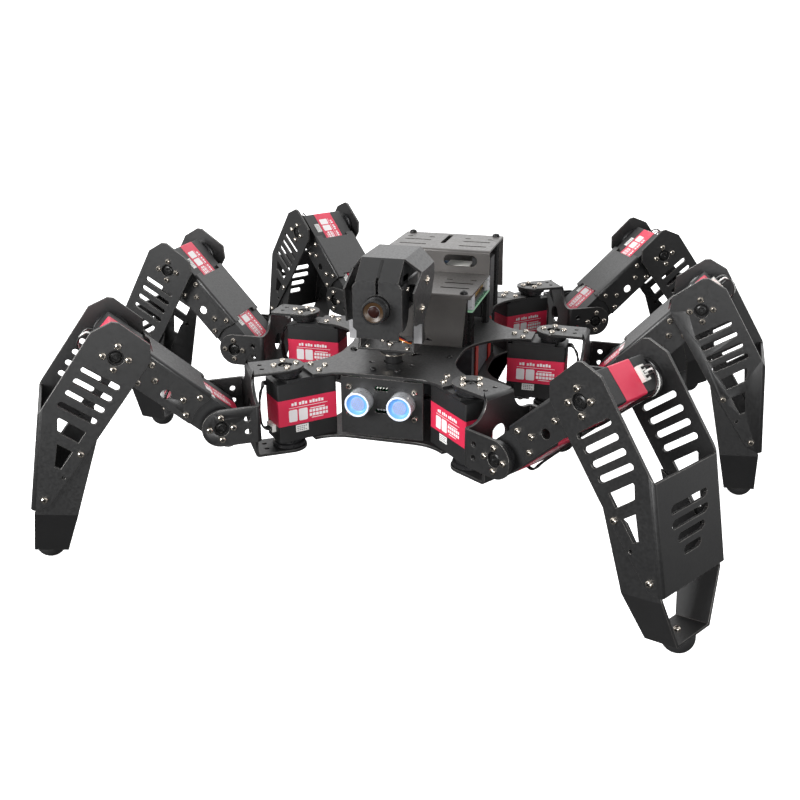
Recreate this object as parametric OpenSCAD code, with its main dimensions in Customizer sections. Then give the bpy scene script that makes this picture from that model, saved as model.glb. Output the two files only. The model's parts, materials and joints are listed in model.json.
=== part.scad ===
// Six-legged walking robot: folded sheet-metal frame, three bus servos a leg and a camera head.
// Millimetres, +Z up. The origin is on the floor under the middle of the body, and -Y is forward,
// so +X is the robot's left. Every leg is drawn outward along X from its hip and then turned to its yaw.

/* [Body] */
// Hip axes of the front and rear legs, from the body's centre line
corner_hip_x = 59; // [56:0.5:62]
// Hip axes of the front and rear legs, ahead of and behind the middle legs
corner_hip_y = 115.7; // [112:0.5:120]
// Hip axes of the middle legs, from the body's centre line
middle_hip_x = 92.1; // [88:0.5:98]
// Half width of the body plates at their waist
waist_x = 38.5; // [34:0.5:42]
// Half length of the body plates
plate_y = 105.5; // [103:0.5:108]
// Thickness of the body plates
plate_t = 2; // [1.5:0.5:3]
// Top face of the lower body plate above the floor
deck_z = 58; // [54:1:66]

/* [Servos] */
// Length of a servo case
servo_len = 40; // [39:0.5:42]
// Width of a servo case
servo_w = 20; // [19:0.1:21]
// Height of a servo case along its output axis
servo_h = 38.6; // [38:0.1:39]
// Output axis to the near end of the case
servo_end = 10; // [9:0.5:11]
// Distance over both output horns
horn_span = 51.3; // [50:0.1:53]
// Radius of an output horn
horn_r = 10.5; // [10:0.1:11]

/* [Legs] */
// Hip axis to thigh axis
coxa_len = 45.2; // [44:0.2:48]
// Thigh axis to knee axis
femur_len = 74.4; // [72:0.2:80]
// Thigh axis above the floor
thigh_z = 80; // [76:1:88]
// Knee axis to the middle of the rubber foot, along the shin
shin_len = 129; // [124:1:134]
// Radius of the rubber foot
foot_r = 9; // [8:0.5:10]
// Thickness of the leg sheets
sheet_t = 1.8; // [1.5:0.1:2]
// Forward swing of the front, middle and rear legs on the robot's left
yaw_left = [32.5, 2.2, -30]; // [-40:0.5:40]
// Forward swing of the front, middle and rear legs on the robot's right
yaw_right = [34.7, -0.2, -34.3]; // [-40:0.5:40]
// Lift of the three left thighs
lift_left = [42.4, 47.8, 42.2]; // [40:0.5:50]
// Lift of the three right thighs
lift_right = [42.8, 48.9, 43]; // [40:0.5:50]

/* [Head] */
// Pan axis ahead of the middle of the body
pan_y = 77.5; // [76:0.5:79]
// Tilt axis above the floor
tilt_z = 147; // [146:0.5:148]
// Tilt axis ahead of the pan axis
tilt_ahead = 1; // [0:0.5:2]

/* [Hidden] */
$fn = 48;
LEGS = ["front_left", "middle_left", "rear_left", "front_right", "middle_right", "rear_right"];
LEG_NODES = ["coxa_bracket", "coxa_hardware", "femur_servos", "femur_frame",
             "tibia_shell", "tibia_hardware", "foot_bracket", "foot"];
BODY_NODES = ["body_plates", "body_servos", "body_hardware", "front_panel", "ultrasonic_sensor",
              "battery", "controller_board", "electronics_cover",
              "head_yoke", "tilt_servo", "camera_hood", "camera_module"];

play = 0.05;          // radial clearance of a running fit
gap = 0.05;           // parts that are screwed face to face
black = [0.13, 0.13, 0.14];
steel = [0.75, 0.74, 0.7];

// ---- levels above the floor ----
servo_mid_z = deck_z + servo_h / 2;
rim_h = 1.9;                               // raised rim on a body servo that carries the upper plate
top_z = deck_z + servo_h + rim_h;          // underside of the upper plate
skin_z = top_z + plate_t;                  // upper face of the upper plate
ear_t = 2;
ear_top_z = 105.8;
ear_bottom_z = ear_top_z - 2 * ear_t - horn_span;

// ---- leg geometry ----
ear_r = 11.5;
side_y = 26;                               // inner faces of the coxa bracket's side ears
shin_bend = 10.2;                          // the shin's lower half leans in by this angle
foot_drop = 25.6;                          // foot behind the lower half's own axis
foot_reach = norm([shin_len, foot_drop]);
shell_y = 28;                              // outer faces of the shin's side plates
panel_d = 38.65;                           // outer face of the shin's front panel

function knee_z(lift) = thigh_z + femur_len * sin(lift);
function shin_angle(lift) =
  asin((foot_r - knee_z(lift)) / foot_reach) - atan(foot_drop / shin_len) + shin_bend;

function is_left(leg) = leg < 3;
function row_of(leg) = leg % 3;
function hip(leg) = let (side = is_left(leg) ? 1 : -1, row = row_of(leg))
  [side * (row == 1 ? middle_hip_x : corner_hip_x), (row - 1) * corner_hip_y];
function yaw(leg) = is_left(leg) ? -yaw_left[row_of(leg)] : 180 + yaw_right[row_of(leg)];
function lift(leg) = is_left(leg) ? lift_left[row_of(leg)] : lift_right[row_of(leg)];
// direction of a hip servo's case, from its axis towards the body
function servo_yaw(leg) = let (row = row_of(leg))
  is_left(leg) ? [135, 180, 225][row] : [45, 0, -45][row];

module at_hip(leg) translate([hip(leg).x, hip(leg).y, 0]) rotate(yaw(leg)) children();
module at_thigh(leg) at_hip(leg) translate([coxa_len, 0, thigh_z]) rotate([0, -lift(leg), 0]) children();
module at_knee(leg) at_hip(leg)
  translate([coxa_len + femur_len * cos(lift(leg)), 0, knee_z(lift(leg))])
    rotate([0, -shin_angle(lift(leg)), 0]) children();
// a flat outline in the leg's upright plane, given its inner and outer faces across the leg
module across(y0, y1) translate([0, y1, 0]) rotate([90, 0, 0]) linear_extrude(y1 - y0) children();
module both_sides() { children(); mirror([0, 1, 0]) children(); }

// ---- shared shapes ----
module slot(length, width) {
  square([length - width, width], center = true);
  for (side = [-1, 1]) translate([side * (length - width) / 2, 0]) circle(d = width);
}

// a bar from x = 0 whose far corners are round
module round_ended(reach, height, r) {
  translate([0, -height / 2]) square([reach - r, height]);
  translate([0, r - height / 2]) square([reach, height - 2 * r]);
  for (side = [-1, 1]) translate([reach - r, side * (height / 2 - r)]) circle(r);
}

module rounded_plate(width, depth, r) {
  square([width - 2 * r, depth], center = true);
  square([width, depth - 2 * r], center = true);
  for (x = [-1, 1], y = [-1, 1]) translate([x * (width / 2 - r), y * (depth / 2 - r)]) circle(r);
}

// the folded strip of a U bracket: base at x = reach, legs back to x = 0
module u_strip(reach, height, t) {
  bend = t + 0.6;
  difference() {
    round_ended(reach, height, bend);
    translate([-1, 0]) round_ended(reach + 1 - t, height - 2 * t, bend - t);
  }
}

// a pan-head screw whose head rests at z = 0
module screw(head_r = 1.95, head_h = 1.3, shank_r = 1.2, shank_len = 4) {
  translate([0, 0, gap]) cylinder(h = head_h - gap, r1 = head_r, r2 = head_r * 0.72);
  translate([0, 0, -shank_len]) cylinder(h = shank_len + gap, r = shank_r);
}

horn_screw_circle = 7;
horn_hole_r = 4.6;                                  // the horn's own screw sits in this hole
fixing_points = [[20, 6.6], [20, -6.6], [27, 0]];   // screws into the case, from the output axis
module at_horn_screws() for (a = [0:90:270]) rotate(a) translate([horn_screw_circle, 0]) children();
module at_fixings() for (p = fixing_points) translate(p) children();

// servo with its output axis along Z at the middle of its height, case towards +X
module servo(rim) {
  hub_r = 3;
  hub_h = 3.2;
  hole_r = 1.25;
  hole_depth = 3.5;
  difference() {
    union() {
      translate([servo_len / 2 - servo_end, 0, -servo_h / 2])
        linear_extrude(servo_h) rounded_plate(servo_len, servo_w, 1);
      if (rim > 0)
        translate([servo_len / 2 - servo_end, 0, servo_h / 2])
          linear_extrude(rim) rounded_plate(servo_len - 8, servo_w - 0.6, 1);
      translate([0, 0, -servo_h / 2 - hub_h]) cylinder(h = servo_h + rim + 2 * hub_h, r = hub_r);
    }
    at_fixings() {
      translate([0, 0, servo_h / 2 + rim - hole_depth]) cylinder(h = hole_depth + 1, r = hole_r);
      translate([0, 0, -servo_h / 2 - 1]) cylinder(h = hole_depth + 1, r = hole_r);
    }
  }
}

// horn and its screws from the horn's face at z = 0, which is the bracket's inner face
module horn_set(bracket_t, horn_h, hub_h) {
  difference() {
    translate([0, 0, -horn_h]) cylinder(h = horn_h - gap, r = horn_r);
    translate([0, 0, -horn_h - 1]) cylinder(h = hub_h + 1, r = 3 + play);
    at_horn_screws() translate([0, 0, -2.5]) cylinder(h = 4, r = 1.25);
    translate([0, 0, -2.5]) cylinder(h = 4, r = 1.6);
  }
  translate([0, 0, bracket_t]) at_horn_screws() screw(shank_len = bracket_t + 2);
  screw(head_r = 3.6, head_h = 1.2, shank_r = 1.5, shank_len = 2);
}
module horn_holes(bracket_t) translate([0, 0, -1]) {
  at_horn_screws() cylinder(h = bracket_t + 2, r = 1.35);
  cylinder(h = bracket_t + 2, r = horn_hole_r);
}

// ---- body ----
arm_w = 2 * ear_r;
tip_back = 13.6;                 // plate tips stop short of the hip axes
side_cut_r = 40;
middle_half = 8.8;               // half width of a middle arm at its tip
front_fillet_r = 28;

module plate_outline() {
  tip_x = middle_hip_x - tip_back;
  cut_low = middle_half + side_cut_r;
  cut_high = cut_low + 13.5;
  corner = corner_hip_x - (corner_hip_y - plate_y) - ear_r * sqrt(2);   // arm side meets the front edge
  reach = front_fillet_r * tan(22.5);
  difference() {
    union() {
      square([2 * waist_x, 2 * plate_y], center = true);
      square([2 * tip_x, 2 * cut_low], center = true);
      for (x = [0, 1], y = [0, 1]) mirror([x, 0]) mirror([0, y]) {
        translate([corner_hip_x, corner_hip_y]) rotate(225)
          translate([tip_back, -ear_r]) square([70, arm_w]);
        translate([0, cut_high]) square([50.2, 28.3]);
        difference() {
          polygon([[corner - reach, plate_y - 1], [corner - reach, plate_y],
                   [corner + reach * cos(45), plate_y + reach * sin(45)], [corner + reach, plate_y - 1]]);
          translate([corner - reach, plate_y + front_fillet_r]) circle(front_fillet_r, $fn = 96);
        }
      }
    }
    for (x = [0, 1], y = [0, 1]) mirror([x, 0]) mirror([0, y]) {
      for (cy = [cut_low, cut_high]) translate([tip_x, cy]) circle(side_cut_r, $fn = 96);
      translate([tip_x - side_cut_r, cut_low]) square([2 * side_cut_r, cut_high - cut_low]);
    }
  }
}

cable_slot_y = 28;
screw_hole_r = 1.6;
module plate_holes() {
  for (leg = [0:5]) translate(hip(leg)) rotate(servo_yaw(leg)) at_fixings() circle(1.4);
  for (x = [-1, 1], y = [-1, 1]) {
    translate([x * flange_x, y * flange_y]) circle(screw_hole_r);
    translate([x * 13.2, y * 82.5]) circle(screw_hole_r);
  }
  for (p = standoff_points) translate(p) circle(screw_hole_r);
  for (y = [-1, 1]) translate([0, y * cable_slot_y]) slot(26, 8);
}

standoff_points = [for (x = [-33, 33], y = [-61, 82]) [x, y]];
module body_plates() color(black) {
  translate([0, 0, top_z + gap]) linear_extrude(plate_t - gap) difference() {
    plate_outline();
    plate_holes();
    translate([0, -pan_y]) circle(pan_neck_r + 0.7);
    translate([0, -pan_y]) rotate(90) at_fixings() circle(1.4);
    for (p = deck_posts) translate(p) circle(screw_hole_r);
  }
  translate([0, 0, deck_z - plate_t]) linear_extrude(plate_t - gap) difference() {
    plate_outline();
    plate_holes();
    translate([0, -pan_y]) circle(4);
    translate([0, -pan_y]) rotate(90) at_fixings() circle(1.4);
  }
}

module body_servos() color(black) {
  for (leg = [0:5]) translate([hip(leg).x, hip(leg).y, servo_mid_z]) rotate(servo_yaw(leg)) servo(rim_h);
  translate([0, -pan_y, servo_mid_z]) rotate(90) servo(rim_h);
}

standoff_r = 2.75;
module standoff(low, high) difference() {
  translate([0, 0, low]) cylinder(h = high - low, r = standoff_r, $fn = 6);
  for (z = [low - 1, high - 5]) translate([0, 0, z]) cylinder(h = 6, r = 1.25);
}

board_x = 4.5;                  // middle of the controller board and its cover
board_z = 123;
board_posts = [for (x = [-35, 35], y = [-29, 23]) [board_x + x, y]];
low_posts = [for (x = [-31.7, 31.7]) [board_x + x, -35.6]];
high_posts = [for (x = [-32.3, 32.3]) [board_x + x, 72]];
deck_posts = concat(board_posts, low_posts, high_posts);
low_deck_z = 136.5;
high_deck_z = 153;
cover_t = 1.5;
board_t = 1.6;

module body_hardware() color(steel) {
  for (leg = [0:5]) translate([hip(leg).x, hip(leg).y, 0]) rotate(servo_yaw(leg)) fixing_screws();
  translate([0, -pan_y, 0]) rotate(90) fixing_screws();
  for (p = standoff_points) translate(p) {
    standoff(deck_z + gap, top_z - gap);
    translate([0, 0, skin_z]) screw(shank_len = 5);
    translate([0, 0, deck_z - plate_t]) mirror([0, 0, 1]) screw(shank_len = 5);
  }
  for (p = board_posts) translate(p) {
    standoff(skin_z + gap, board_z - gap);
    standoff(board_z + board_t + gap, low_deck_z - cover_t - gap);
  }
  cover_posts(low_posts, low_deck_z);
  cover_posts(high_posts, high_deck_z);
  for (p = deck_posts) translate([p.x, p.y, top_z]) mirror([0, 0, 1]) screw(shank_len = 5);
  panel_fixings();
}
module cover_posts(points, deck_top) for (p = points) translate(p) {
  standoff(skin_z + gap, deck_top - cover_t - gap);
  translate([0, 0, deck_top]) screw(shank_len = 5);
}
module fixing_screws() at_fixings() {
  translate([0, 0, skin_z]) screw(shank_len = plate_t + 2);
  translate([0, 0, deck_z - plate_t]) mirror([0, 0, 1]) screw(shank_len = plate_t + 2);
}

// ---- front panel and distance sensor ----
panel_y = -104.6;               // front face
panel_t = 1.5;
panel_half = 26.7;
sensor_x = 13.5;
sensor_z = 82.4;
sensor_r = 8;
sensor_depth = 9.5;             // the sensor's board behind the panel's face
flange_x = 8;                   // the panel's flanges are screwed to both plates here
flange_y = 96;
panel_screw_points = [for (x = [-1, 1], z = [73, 91]) [x * 21.3, z]];

module panel_shape() difference() {
  translate([-panel_half, deck_z + 1]) square([2 * panel_half, top_z - deck_z - 2]);
  for (x = [-1, 1]) translate([x * sensor_x, sensor_z]) circle(sensor_r + 0.3);
  for (p = panel_screw_points) translate(p) circle(1.4);
  for (z = [76.3, 91.2]) translate([0, z]) slot(9, 3);
}
module upright_sheet(front, t) translate([0, front + t, 0]) rotate([90, 0, 0]) linear_extrude(t) children();

module front_panel() color(black) {
  upright_sheet(panel_y, panel_t) panel_shape();
  for (z = [deck_z + gap, top_z - gap - panel_t]) translate([0, 0, z]) linear_extrude(panel_t) difference() {
    translate([-14, panel_y + 0.5]) square([28, 13]);
    for (x = [-1, 1]) translate([x * flange_x, -flange_y]) circle(1.4);
  }
}

// spacers that hold the sensor's board behind the panel, and the screws of the panel
module panel_fixings() {
  for (p = panel_screw_points) translate([p.x, panel_y, p.y]) {
    rotate([90, 0, 0]) screw(shank_len = 5);
    difference() {
      translate([0, panel_t + gap, 0]) rotate([-90, 0, 0])
        cylinder(h = sensor_depth - panel_t - 2 * gap, r = standoff_r);
      rotate([-90, 0, 0]) cylinder(h = 20, r = 1.25);
    }
  }
  for (x = [-1, 1]) translate([x * flange_x, -flange_y, 0]) {
    translate([0, 0, skin_z]) screw(shank_len = 4);
    translate([0, 0, deck_z - plate_t]) mirror([0, 0, 1]) screw(shank_len = 4);
  }
}

module ultrasonic_sensor() color("silver") {
  board_y = panel_y + sensor_depth;
  upright_sheet(board_y, board_t) difference() {
    translate([0, sensor_z]) rounded_plate(48, 25, 1);
    for (p = panel_screw_points) translate(p) circle(1.25);
  }
  for (x = [-1, 1]) translate([x * sensor_x, 0, sensor_z]) rotate([90, 0, 0]) difference() {
    translate([0, 0, -board_y]) cylinder(h = board_y - panel_y + 9, r = sensor_r);
    translate([0, 0, 9 - panel_y - 1.5]) cylinder(h = 3, r = sensor_r - 1.2);
  }
}

// ---- power and control ----
battery_size = [70, 74, 34];
module battery() color([0.45, 0.46, 0.48])
  translate([0, 38, deck_z + gap + battery_size.z / 2]) rotate([90, 0, 0])
    linear_extrude(battery_size.y, center = true) rounded_plate(battery_size.x, battery_size.z, 2.5);

board_front = -32.5;
board_back = 44;
notch = [23.5, 27.5];           // the board's left rear corner is cut away beside the power module
module controller_board() color([0.1, 0.35, 0.2]) {
  half = 37;
  board_top = board_z + board_t + gap;
  translate([board_x, 0, board_z]) linear_extrude(board_t) difference() {
    translate([0, (board_front + board_back) / 2]) rounded_plate(2 * half, board_back - board_front, 1.5);
    translate(notch) square(30);
    for (p = board_posts) translate([p.x - board_x, p.y]) circle(1.5);
  }
  // two sockets, the processor and the power module
  translate([board_x + 4, 28.5, board_top]) cube([17.5, 15, 18.2]);
  translate([board_x - 30, 28.5, board_top]) cube([16, 15, 13.5]);
  translate([board_x - 7, -8, board_top]) cube([14, 14, 2.4]);
  translate([board_x + notch.x, notch.y + 0.5, skin_z + gap]) cube([13.4, 15, 46]);
}

cover_half = 37.5;
module cover_profile() {       // the folded sheet seen from the side: Y forward to back, Z up
  front_y = -40;
  step_y = 20;
  back_y = 76;
  t = cover_t;
  difference() {
    polygon([[front_y, skin_z + gap], [front_y, low_deck_z], [step_y, low_deck_z], [step_y, high_deck_z],
             [back_y, high_deck_z], [back_y, 134], [back_y + 3, 114], [back_y + 3 - t, 114],
             [back_y - t, 134], [back_y - t, high_deck_z - t], [step_y + t, high_deck_z - t],
             [step_y + t, low_deck_z - t], [front_y + t, low_deck_z - t], [front_y + t, skin_z + gap]]);
    // outer bends
    for (p = [[front_y, low_deck_z], [step_y, high_deck_z]]) translate(p) corner_cut(1, -1);
    translate([back_y, high_deck_z]) corner_cut(-1, -1);
  }
}
// what rounding an outer corner takes away
module corner_cut(dx, dz, r = 2) difference() {
  translate([min(0, dx * r), min(0, dz * r)]) square(r);
  translate([dx * r, dz * r]) circle(r);
}
module cover_slots(y_rows, y_small) {
  for (x = [-1, 1]) {
    for (y = y_rows) translate([x * 22.3, y]) slot(20.4, 2.2);
    for (dx = [-8.5, 8.5]) translate([x * 22.3 + dx, y_small]) slot(4.5, 2.2);
  }
}
// the front wall is narrower than the deck behind it, and the deck's front corners are cut off
module cover_trim() {
  upright_sheet(-42, 3.55) polygon([[34.3, low_deck_z - 3], [40, low_deck_z - 3], [40, 90], [31, 90]]);
  translate([0, 0, low_deck_z - 5]) linear_extrude(10) polygon([[34.3, -41], [39, -41], [39, -36.8]]);
}
module electronics_cover() color(black) {
  difference() {
    translate([board_x - cover_half, 0, 0]) rotate([90, 0, 90])
      linear_extrude(2 * cover_half) cover_profile();
    translate([board_x, 0, low_deck_z - 5]) linear_extrude(10) cover_slots([-9, -22], 0);
    translate([board_x, 0, high_deck_z - 5]) linear_extrude(10) {
      cover_slots([33.5, 48.7], 58.5);
      translate([-1.3, 54]) rotate(90) slot(30, 3.6);
    }
    translate([21, 25, 145.2]) rotate([90, 0, 0]) linear_extrude(10) slot(24.5, 8.2);
    for (p = low_posts) translate([p.x, p.y, low_deck_z - 5]) cylinder(h = 10, r = 1.5);
    for (side = [0, 1]) translate([board_x, 0, 0]) mirror([side, 0, 0]) cover_trim();
    for (p = high_posts) translate([p.x, p.y, high_deck_z - 5]) cylinder(h = 10, r = 1.5);
  }
}

// ---- head ----
pan_face_z = 112.5;             // upper face of the pan horn, which stands on a column
yoke_t = 1.5;
yoke_half = 18.1;
yoke_front = -94.5;
yoke_back = -66;
pan_horn_h = 3.6;
pan_neck_r = 5.5;
tilt_y = -pan_y - tilt_ahead;
hood_front = -111;
wing_x = 22.3;
hood_t = 1.2;
lens_z = 144.3;
brow_z = 161;
roof_y = -97.8;
roof_z = 172.3;
roof_half = 13.3;
hood_back = -61;
wing_screw_points = [[-79, 155.8], [-90.8, 140.9]];

module at_tilt() translate([0, tilt_y, tilt_z]) children();
module along_x(x0, x1) translate([x0, 0, 0]) rotate([90, 0, 90]) linear_extrude(x1 - x0) children();

// U-shaped yoke on the pan horn, and the column that carries the horn above the upper plate
module head_yoke() color(black) {
  floor_z = pan_face_z + yoke_t;
  difference() {
    union() {
      translate([0, (yoke_front + yoke_back) / 2, pan_face_z + gap]) linear_extrude(yoke_t - gap)
        rounded_plate(2 * yoke_half, yoke_back - yoke_front, 0.6);
      for (side = [0, 1]) mirror([side, 0, 0])
        along_x(yoke_half - yoke_t, yoke_half) upright_outline(floor_z);
    }
    translate([0, -pan_y, pan_face_z]) horn_holes(yoke_t);
    translate([-30, tilt_y, tilt_z]) rotate([0, 90, 0]) cylinder(h = 60, r = 3 + play);
  }
  translate([0, -pan_y, pan_face_z]) horn_set(yoke_t, pan_horn_h, 0.5);
  translate([0, -pan_y, 0]) difference() {
    union() {
      translate([0, 0, top_z + 0.4]) cylinder(h = 9, r = pan_neck_r);
      translate([0, 0, 106.2]) cylinder(h = pan_face_z - pan_horn_h - gap - 106.2, r = 8);
    }
    translate([0, 0, top_z]) cylinder(h = 3.6, r = 3 + play);
  }
}
module upright_outline(floor_z) {
  polygon([[yoke_front, pan_face_z + 0.1], [yoke_back, pan_face_z + 0.1], [yoke_back - 3, floor_z + 10],
           [tilt_y + 8, tilt_z], [tilt_y - 8, tilt_z], [yoke_front + 2, floor_z + 10]]);
  translate([tilt_y, tilt_z]) circle(8);
}

// small servo between the yoke's uprights, whose shaft ends carry the wings of the hood
module tilt_servo() color(black) at_tilt() {
  shaft_half = wing_x - hood_t - gap;
  translate([-12, -8, -9]) cube([24, 24, 18]);
  rotate([0, 90, 0]) {
    cylinder(h = 2 * 16.3, r = 5.5, center = true);
    cylinder(h = 2 * shaft_half, r = 3, center = true);
  }
}

module wing_outline() polygon([[-89.8, 163.5], [-107.9, 154.8], [-104.5, 133.5], [-86, 131], [-67.3, 144],
                               [-60, 156], [-61, 162.6]]);

// the hood's front, brow and roof seen from the side
module brow_profile() polygon([
  [hood_front, 125.4], [hood_front, brow_z], [roof_y, roof_z], [hood_back, roof_z],
  [hood_back, roof_z - hood_t], [roof_y + 0.3, roof_z - hood_t],
  [hood_front + hood_t, brow_z - 0.7], [hood_front + hood_t, 125.4]]);

module hood_front_view() polygon([
  [-13.4, 120], [13.4, 120], [13.4, 130], [15.5, 132], [15.5, brow_z - 4], [roof_half, brow_z - 1],
  [roof_half, 180], [-roof_half, 180], [-roof_half, brow_z - 1], [-15.5, brow_z - 4],
  [-15.5, 132], [-13.4, 130]]);

// the slope from the roof down to a wing
module slope_profile() polygon([
  [roof_half - 1, roof_z], [roof_half + 0.3, roof_z], [wing_x, 163.2], [wing_x, 160], [wing_x - hood_t, 160],
  [wing_x - hood_t, 162.7], [roof_half - 0.1, roof_z - hood_t], [roof_half - 1, roof_z - hood_t]]);

module camera_hood() color(black) difference() {
  union() {
    intersection() {
      along_x(-20, 20) brow_profile();
      upright_sheet(-130, 90) hood_front_view();
    }
    for (side = [0, 1]) mirror([side, 0, 0]) {
      along_x(wing_x - hood_t, wing_x) wing_outline();
      intersection() {
        upright_sheet(roof_y, hood_back - roof_y) slope_profile();
        linear_extrude(200) polygon([[0, roof_y], [roof_half, roof_y], [wing_x + 1, roof_y + 8.5],
                                     [wing_x + 1, hood_back], [0, hood_back]]);
      }
    }
  }
  translate([0, hood_front + 5, lens_z]) rotate([90, 0, 0]) cylinder(h = 10, r = 8.3);
  translate([-0.8, hood_front - 5, lens_z]) cube([1.6, 13, 19.5]);
  for (p = wing_screw_points) translate([-40, p.x, p.y]) rotate([0, 90, 0]) cylinder(h = 80, r = 1.3);
}

module camera_module() color(black) {
  board_y = -102.9;
  translate([0, board_y, lens_z]) rotate([90, 0, 0]) linear_extrude(board_t) rounded_plate(26, 26, 1);
  translate([0, board_y - board_t, lens_z]) rotate([90, 0, 0]) rotate_extrude()
    polygon([[0, 0], [9, 0], [9, 5], [8, 5], [8, 9], [7.2, 9.8], [7.2, 14.4], [5.6, 14.4],
             [3.4, 12.8], [0, 13.4]]);
}

// ---- legs ----
module coxa_bracket() color(black) {
  web_x = coxa_len / 2;
  height = ear_top_z - ear_bottom_z;
  mid_z = (ear_top_z + ear_bottom_z) / 2;
  difference() {
    union() {
      // ears above and below the hip servo
      intersection() {
        translate([0, 0, mid_z]) rotate([90, 0, 0])
          linear_extrude(2 * ear_r, center = true) translate([-ear_r, 0])
            u_strip(ear_r + web_x + ear_t / 2, height, ear_t);
        translate([0, 0, ear_bottom_z - 1]) linear_extrude(height + 2) {
          circle(ear_r);
          translate([0, -ear_r]) square([web_x + 5, 2 * ear_r]);
        }
      }
      // ears beside the thigh servo
      intersection() {
        translate([coxa_len, 0, thigh_z]) rotate([0, 180, 0]) linear_extrude(2 * ear_r, center = true)
          translate([-ear_r, 0]) u_strip(ear_r + web_x + ear_t / 2, 2 * (side_y + ear_t), ear_t);
        translate([coxa_len, 0, thigh_z]) across(-40, 40) {
          circle(ear_r);
          translate([-web_x - 5, -ear_r]) square([web_x + 5, 2 * ear_r]);
        }
      }
      // round inner corners of the cross-shaped web
      for (side = [-1, 1], up = [-1, 1]) web_corner(side, up, web_x);
    }
    translate([0, 0, ear_top_z - ear_t]) horn_holes(ear_t);
    translate([0, 0, ear_bottom_z]) horn_holes(ear_t);
    for (side = [-1, 1]) translate([15.2, side * 4, ear_bottom_z - 1]) cylinder(h = height + 2, r = 1.5);
    translate([coxa_len, 0, thigh_z]) both_sides() translate([0, side_y, 0]) rotate([-90, 0, 0]) {
      horn_holes(ear_t);
      for (side = [-1, 1]) translate([-15.4, side * 4.1, -1]) cylinder(h = ear_t + 2, r = 1.8);
    }
    translate([web_x - 5, 0, thigh_z]) rotate([0, 90, 0]) cylinder(h = 10, r = 6.5);
  }
}
module web_corner(side, up, web_x) {
  r = 12;
  translate([web_x - ear_t / 2, side * ear_r, thigh_z + up * ear_r]) rotate([90, 0, 90]) linear_extrude(ear_t)
    difference() {
      translate([min(-0.5, side * r), min(-0.5, up * r)]) square(r + 0.5);
      translate([side * r, up * r]) circle(r);
    }
}

module coxa_hardware() color(steel) {
  end_gap = 0.35;
  horn_h = (horn_span - servo_h) / 2 - end_gap;
  upper_h = ear_top_z - ear_t - top_z - end_gap;
  lower_h = deck_z - ear_bottom_z - ear_t - end_gap;
  translate([0, 0, ear_top_z - ear_t]) horn_set(ear_t, upper_h, 3.2);
  translate([0, 0, ear_bottom_z + ear_t]) mirror([0, 0, 1]) horn_set(ear_t, lower_h, 3.2);
  translate([coxa_len, 0, thigh_z]) both_sides() translate([0, side_y, 0]) rotate([-90, 0, 0])
    horn_set(ear_t, horn_h, 3.2);
}

module femur_servos() color(black) {
  rotate([90, 0, 0]) servo(0);
  translate([femur_len, 0, 0]) mirror([1, 0, 0]) rotate([90, 0, 0]) servo(0);
  both_sides() translate([0, frame_half, 0]) rotate([-90, 0, 0]) {
    at_fixings() screw(shank_len = frame_t + 2);
    translate([femur_len, 0, 0]) mirror([1, 0, 0]) at_fixings() screw(shank_len = frame_t + 2);
  }
}

frame_t = 1.5;
frame_half = servo_h / 2 + gap + frame_t;
frame_top = 11.8;
frame_low = -10;
module femur_frame() color(black) {
  u0 = 15;
  u1 = femur_len - 15;
  end_r = 16.6;
  difference() {
    translate([u0, 0, 0]) rotate([90, 0, 90]) linear_extrude(u1 - u0) intersection() {
      translate([0, frame_low]) rotate(90) u_strip(frame_top - frame_low, 2 * frame_half, frame_t);
      translate([-40, frame_low]) square([80, 40]);
    }
    for (u = [0, femur_len]) translate([u, 0, 0]) rotate([90, 0, 0])
      cylinder(h = 60, r = end_r, center = true);
    for (u = [u0, u1]) translate([u, 0, frame_top]) cube([6, 26, 5], center = true);
    both_sides() translate([0, frame_half - frame_t, 0]) rotate([-90, 0, 0]) frame_holes();
  }
}
module frame_holes() translate([0, 0, -1]) {
  at_fixings() cylinder(h = frame_t + 2, r = 1.35);
  translate([femur_len, 0, 0]) mirror([1, 0, 0]) at_fixings() cylinder(h = frame_t + 2, r = 1.35);
  translate([femur_len / 2, 3, 0]) cylinder(h = frame_t + 2, r = 3);
}

// shin: a runs from the knee to the foot, b outward
shin_top = [[-19.8, 4], [-19.2, 7.6], [-10.7, 16.5], [43, 31.5], [100, 21.3], [99.8, 18.5],
            [95, 12.3], [49.3, -3], [-3, -18.8], [-12, -15.8]];
panel_from = 36.8;
panel_to = 94.6;
module lower_shin() rotate([0, shin_bend, 0]) children();

module shin_plate() difference() {
  polygon(shin_top);
  rotate(16.5) for (i = [0:3]) translate([14.65 + 7.85 * i, 0.6]) rotate(90) slot(23.6, 3.5);
  polygon([[41.5, 20.2], [46.5, 4.3], [54, 6.5], [50.3, 17.5], [49.5, 19], [42.5, 20.8]]);
  polygon([[57, 17.4], [59.9, 8.2], [71.6, 11.8], [71, 15.2]]);
  translate([76, 9]) circle(1.1);
  for (p = shell_screw_points) translate(p) circle(1.4);
}
shell_screw_points = [[60.3, 3.5], [92, 15.7]];

module panel_slots() for (i = [0:3]) {
  half = [15.5, 15.5, 11.5, 7.5][i];
  translate([53.5 + 7.7 * i, 0]) polygon([[-2.2, -half + 2], [-2.2, half - 1], [-1, half], [0.6, half],
    [2.2, half - 3], [2.2, -half + 0.8], [1.4, -half], [-0.4, -half]]);
}

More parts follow.
